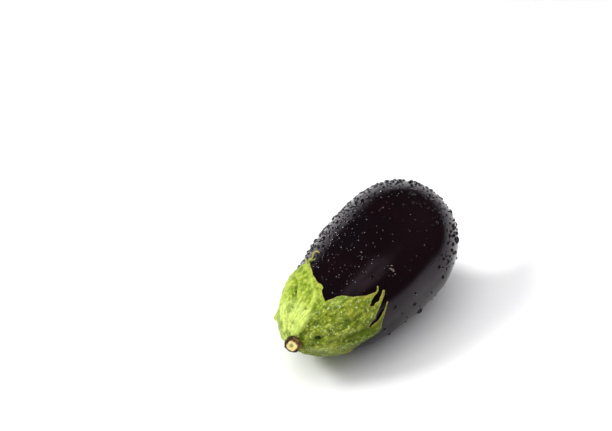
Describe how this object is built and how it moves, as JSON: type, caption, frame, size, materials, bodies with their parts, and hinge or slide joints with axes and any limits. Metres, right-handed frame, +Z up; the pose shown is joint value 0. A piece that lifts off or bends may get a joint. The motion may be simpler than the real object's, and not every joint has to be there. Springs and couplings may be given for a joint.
{
  "type": "eggplant",
  "caption": "Whole dark eggplant lying on its side, with a smooth oval fruit, a lobed green calyx over the stem end and a short cut stem.",
  "frame": {"origin": "bottom centre of the whole object's box, on the surface that it lies on", "axes": "+X along the fruit, from the stem end to the blossom end; +Z up; the stem leans towards -Y"},
  "size_m": [0.1606, 0.0862, 0.0851],
  "materials": {
    "skin": "gloss",
    "calyx": "satin",
    "stem": "matte",
    "water": "gloss"
  },
  "bodies": {
    "root": {"fruit": "skin", "calyx": "calyx", "stem": "stem"}
  },
  "joints": []
}
